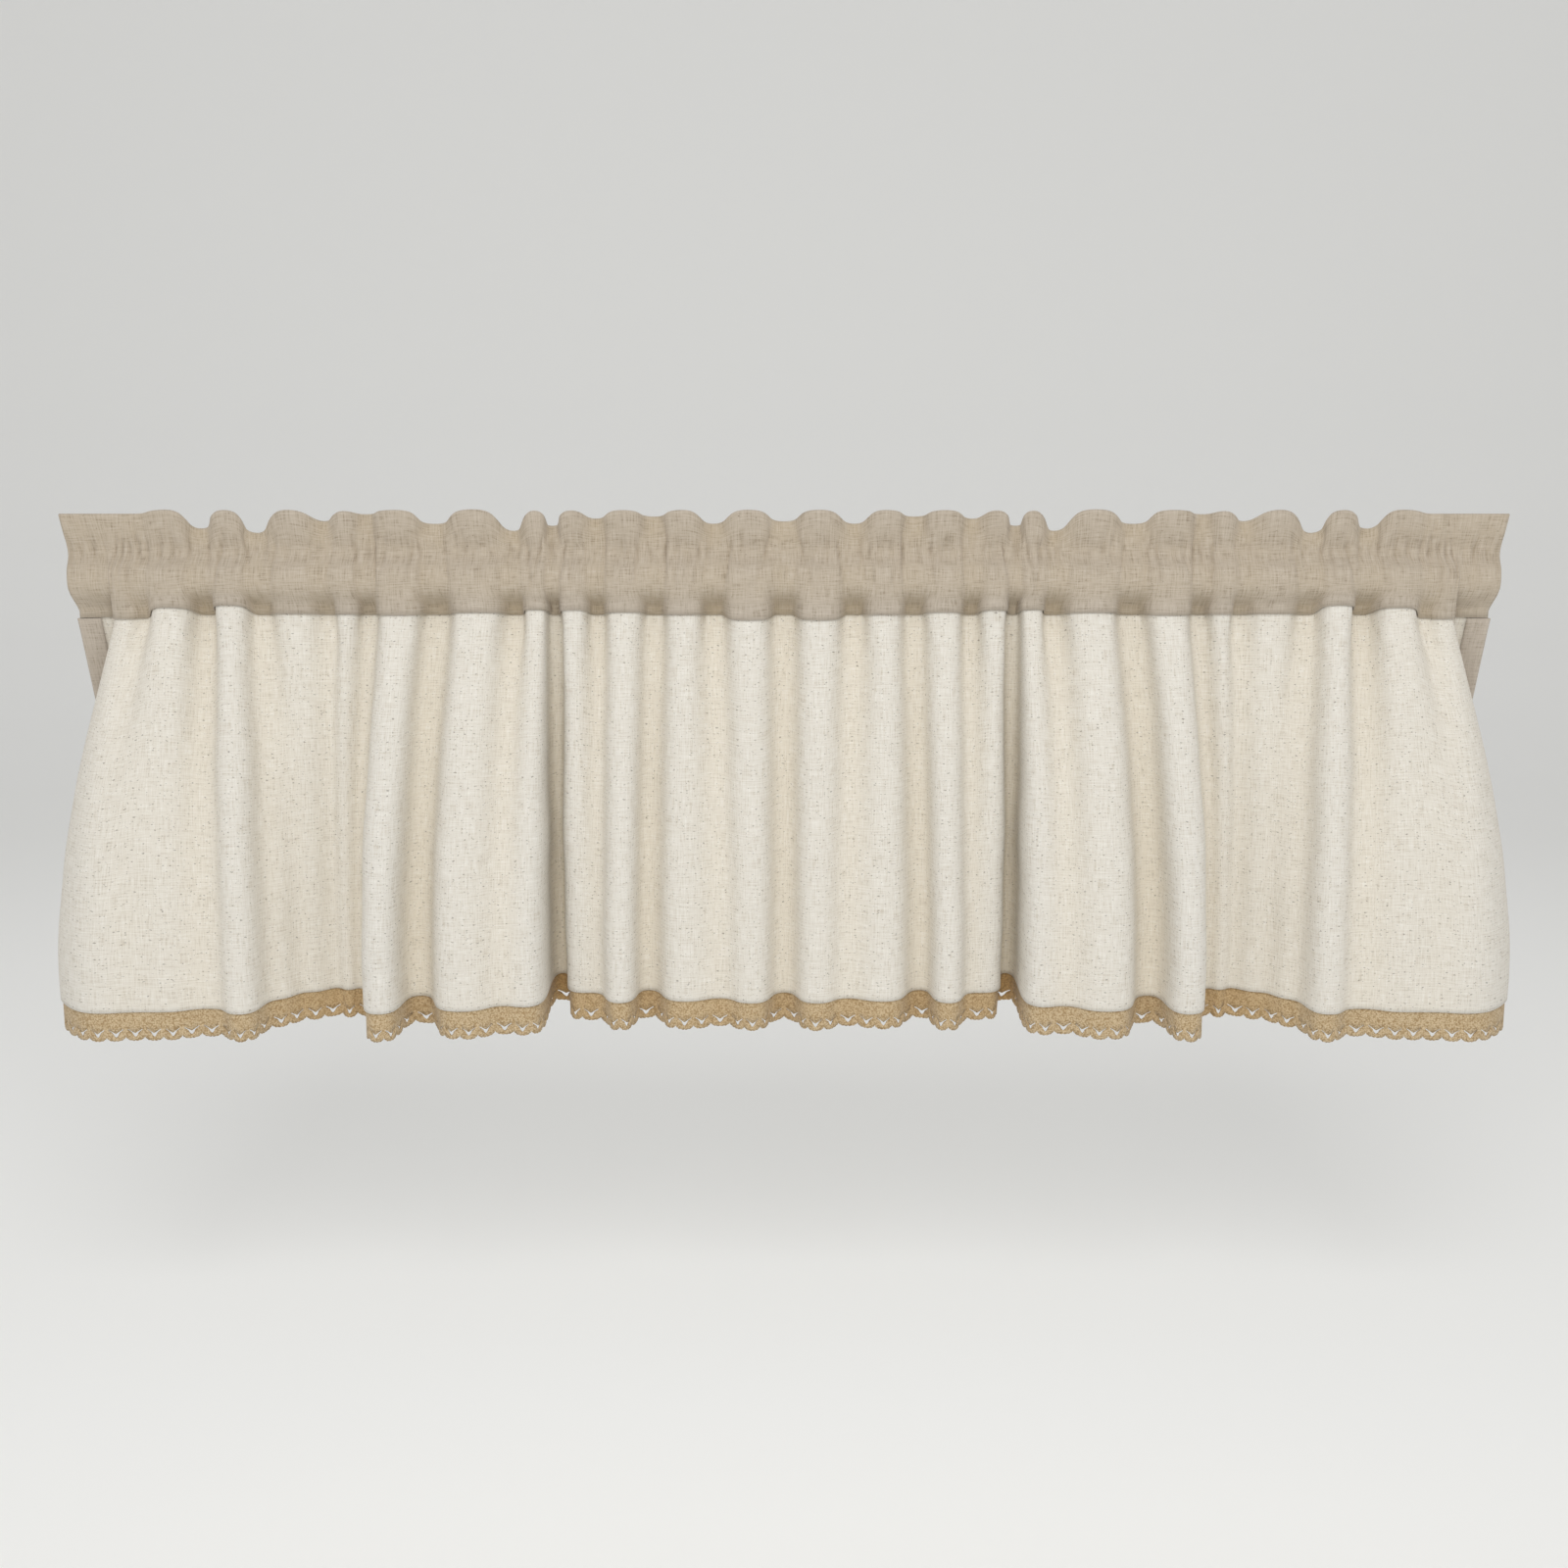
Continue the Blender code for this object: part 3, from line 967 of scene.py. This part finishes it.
@dataclass
class Lace:
    """Crocheted edging: a dense strip, a zigzag of slits that meet in eyelets, and scallops."""

    panel: Panel
    repeat: float = 0.0160
    columns: int = 18  # in one repeat
    thickness: float = 0.0010
    offset: float = 0.0017  # behind the panel's middle
    lap: float = 0.005  # lace hidden behind the hem
    shown: float = 0.026
    slit_top: float = 0.0192  # below the hem, at the eyelet
    slit_rise: float = 0.0052  # how much higher the slits meet between eyelets
    slit_gap: float = 0.0012
    slit_taper: float = 0.55  # share of the gap that is lost towards the tie
    eye_height: float = 0.0034
    eye_reach: float = 0.36  # half width of the eyelet, as a share of half a repeat
    tie_from: float = 0.86  # past this share of half a repeat the slits are closed
    notch: float = 0.0216  # below the hem, between two scallops
    scallop: float = 0.0038  # how much lower a scallop's middle is
    picot: float = 0.0007
    picot_waves: float = 2.5
    edge_gap: float = 0.0001  # least that the edge stays above the full depth
    rows_above: tuple[float, ...] = (0.0, 0.25, 0.5, 0.75, 1.0)  # shares, lap to slit
    rows_below: tuple[float, ...] = (0.0, 0.5, 1.0)  # shares, slit to edge
    bends: tuple[tuple[float, float], ...] = ((0.041, 0.0008), (0.023, 0.0004))  # length, depth
    # Painted shade: the share of the darker hollow colour at the panel's middle, and the depth behind it
    # over which it grows to full
    painted_shade_middle: float = 0.35
    painted_shade_depth: float = 0.08

    def scallop_rows(self, place: np.ndarray) -> np.ndarray:
        """Return depths below the hem, row by row.

        Args:
            place: Place of each column in its repeat, from -1 to 1 with the eyelet at 0.

        Returns:
            Depths, shaped (rows, columns): the rows above the slit, then those below it.
        """
        out = np.abs(place)
        upper = self.slit_top - self.slit_rise * out
        eye = self.eye_height * np.sqrt(np.clip(1.0 - (out / self.eye_reach) ** 2, 0.0, 1.0))
        slit = np.maximum(eye, self.slit_gap * (1.0 - self.slit_taper * out))
        lower = upper + slit
        picots = self.picot * np.abs(np.sin(place * math.pi * self.picot_waves))
        edge = self.notch + self.scallop * np.sqrt(np.clip(1.0 - out ** 2, 0.0, 1.0)) + picots
        edge = np.minimum(edge, self.shown - self.edge_gap)
        above = [-self.lap + (upper + self.lap) * share for share in self.rows_above]
        below = [lower + (edge - lower) * share for share in self.rows_below]
        return np.array(above + below)

    def build(self) -> bpy.types.Object:
        """Build and return the lace."""
        hem = self.panel.surface(np.array([0.0, 1.0]))[1]
        hem_runs = run_lengths(hem)
        repeats = int(hem_runs[-1] / self.repeat)
        count = repeats * self.columns + 1
        runs = np.linspace(0.0, hem_runs[-1], count)
        line = points_at(runs, hem_runs, hem)
        place = ((np.arange(count) % self.columns) / self.columns) * 2.0 - 1.0
        depths = self.scallop_rows(place)
        rows = shifted(np.repeat(line[None], len(depths), axis=0), self.offset)
        rows[..., 2] -= depths
        wave = sum(np.sin(runs / length) * depth for length, depth in self.bends)
        rows = shifted(rows, wave * np.clip(depths / self.shown, 0.0, 1.0))
        grid = cloth_grid(rows)
        self.cut_slits(grid, place)
        uv = np.stack([np.broadcast_to(runs, depths.shape), -depths], axis=2)
        # Painted shade, deeper the further back the lace lies
        painted_shading = np.clip(self.painted_shade_middle + rows[..., 1] / self.painted_shade_depth, 0.0, 1.0)
        return dressed_sheet("lace_trim", grid, self.thickness, uv, painted_shading)

    def cut_slits(self, grid: bmesh.types.BMesh, place: np.ndarray) -> None:
        """Open the slits and eyelets, apart from the ties between them.

        Args:
            grid: The strip, whose vertices run along its rows.
            place: Place of each column in its repeat.
        """
        columns = len(place)
        slit_row = len(self.rows_above) - 1
        open_faces = []
        for face in grid.faces:
            row = min(vert.index for vert in face.verts) // columns
            reach = max(abs(place[vert.index % columns]) for vert in face.verts)
            if row == slit_row and reach <= self.tie_from:
                open_faces.append(face)
        bmesh.ops.delete(grid, geom=open_faces, context="FACES")


class Lamp(NamedTuple):
    """A square soft light that faces the curtain."""

    name: str
    place: tuple[float, float, float]
    size: float
    power: float


@dataclass
class Studio:
    """Pale sweep, soft lights and the camera."""

    aim: tuple[float, float, float] = (0.0, 0.0, -0.233)
    distance: float = 1.62
    elevation: float = math.radians(11.5)
    lens: float = 43.24  # millimetres
    sensor: float = 36.0  # millimetres
    air_strength: float = 0.58
    paper: str = "#F4F4F2"
    floor_z: float = -0.80
    floor_near: float = -4.0
    wall_y: float = 3.4
    bend: float = 1.0  # radius between floor and wall
    wall_height: float = 4.0
    half_width: float = 7.0
    sweep_steps: int = 40
    lamps: tuple[Lamp, ...] = (
        Lamp("key", (0.0, -2.1, 1.25), 1.3, 32.0),
        Lamp("left_fill", (-2.4, -1.7, 0.2), 1.6, 5.0),
        Lamp("right_fill", (2.4, -1.7, 0.2), 1.6, 5.0),
        Lamp("back_glow", (0.0, 1.6, 0.9), 1.6, 6.0),
    )

    def build(self) -> None:
        """Build the stage."""
        self.sweep()
        for lamp in self.lamps:
            self.light(lamp)
        world = bpy.data.worlds.new("studio_air")
        world.use_nodes = True
        air = world.node_tree.nodes["Background"]
        air.inputs["Color"].default_value = (1.0, 1.0, 1.0, 1.0)
        air.inputs["Strength"].default_value = self.air_strength
        bpy.context.scene.world = world
        bpy.context.scene.view_settings.view_transform = "Standard"
        self.camera()

    def camera(self) -> None:
        """Place the camera."""
        data = bpy.data.cameras.new("view")
        data.lens = self.lens
        data.sensor_width = self.sensor
        eye = Vector(self.aim) + self.distance * Vector(
            (0.0, -math.cos(self.elevation), math.sin(self.elevation))
        )
        cam = bpy.data.objects.new("view", data)
        cam.location = eye
        cam.rotation_euler = (Vector(self.aim) - eye).to_track_quat("-Z", "Y").to_euler()
        bpy.context.scene.collection.objects.link(cam)
        bpy.context.scene.camera = cam

    def light(self, lamp: Lamp) -> None:
        """Add one light, turned towards the middle of the curtain."""
        data = bpy.data.lights.new(lamp.name, "AREA")
        data.size = lamp.size
        data.energy = lamp.power
        obj = bpy.data.objects.new(lamp.name, data)
        obj.location = lamp.place
        obj.rotation_euler = (Vector(self.aim) - Vector(lamp.place)).to_track_quat("-Z", "Y").to_euler()
        bpy.context.scene.collection.objects.link(obj)

    def sweep(self) -> None:
        """Add a pale floor that curves up into a backdrop."""
        shape = bmesh.new()
        bmesh.ops.create_grid(shape, x_segments=2, y_segments=self.sweep_steps, size=1.0)
        for vert in shape.verts:
            vert.co = self.sweep_point(vert.co.x, 0.5 * (vert.co.y + 1.0))
        for face in shape.faces:
            face.smooth = True
        mesh = bpy.data.meshes.new("studio_sweep")
        shape.to_mesh(mesh)
        shape.free()
        obj = bpy.data.objects.new("studio_sweep", mesh)
        bpy.context.scene.collection.objects.link(obj)
        paper = bpy.data.materials.new("matt_white_paper")
        paper.use_nodes = True
        surface = paper.node_tree.nodes["Principled BSDF"]
        surface.inputs["Base Color"].default_value = linear(self.paper)
        surface.inputs["Roughness"].default_value = 1.0
        mesh.materials.append(paper)

    def sweep_point(self, across: float, along: float) -> Vector:
        """Return a point of the sweep: floor, quarter round, wall.

        Args:
            across: From -1 at the left edge to 1 at the right.
            along: From 0 at the near edge of the floor to 1 at the top of the wall.

        Returns:
            The point.
        """
        floor_run = self.wall_y - self.bend - self.floor_near
        arc_run = 0.5 * math.pi * self.bend
        gone = along * (floor_run + arc_run + self.wall_height)
        x = across * self.half_width
        if gone < floor_run:
            return Vector((x, self.floor_near + gone, self.floor_z))
        if gone < floor_run + arc_run:
            angle = (gone - floor_run) / self.bend
            y = self.wall_y - self.bend + self.bend * math.sin(angle)
            return Vector((x, y, self.floor_z + self.bend * (1.0 - math.cos(angle))))
        return Vector((x, self.wall_y, self.floor_z + self.bend + gone - floor_run - arc_run))


def declare(piece: bpy.types.Object, node: str, material: bpy.types.Material) -> None:
    """Dress a piece, hang it on the body and let it stand for its CAD node.

    Args:
        piece: The finished piece.
        node: The CAD node that it replaces.
        material: Its finish.
    """
    piece.data.materials.append(material)
    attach(piece, "root")
    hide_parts(node)
    LOG.info("%s: %d faces", piece.name, len(piece.data.polygons))


def main() -> None:
    """Build the curtain and its stage in order."""
    logging.basicConfig(level=logging.INFO)
    folds = FoldMap()
    taupe, cream, cotton = TAUPE_LINEN.material(), CREAM_LINEN.material(), LaceFinish().material()
    panel = Panel(folds)
    cloth = panel.build()
    declare(cloth, "panel", cream)
    heading = Heading(folds).build()
    declare(heading, "heading", taupe)
    left = SideBand(panel, End.LEFT).build()
    declare(left, "side_band_left", taupe)
    right = SideBand(panel, End.RIGHT).build()
    declare(right, "side_band_right", taupe)
    lace = Lace(panel).build()
    declare(lace, "lace_edge", cotton)
    Studio().build()


if __name__ == "__main__":
    main()
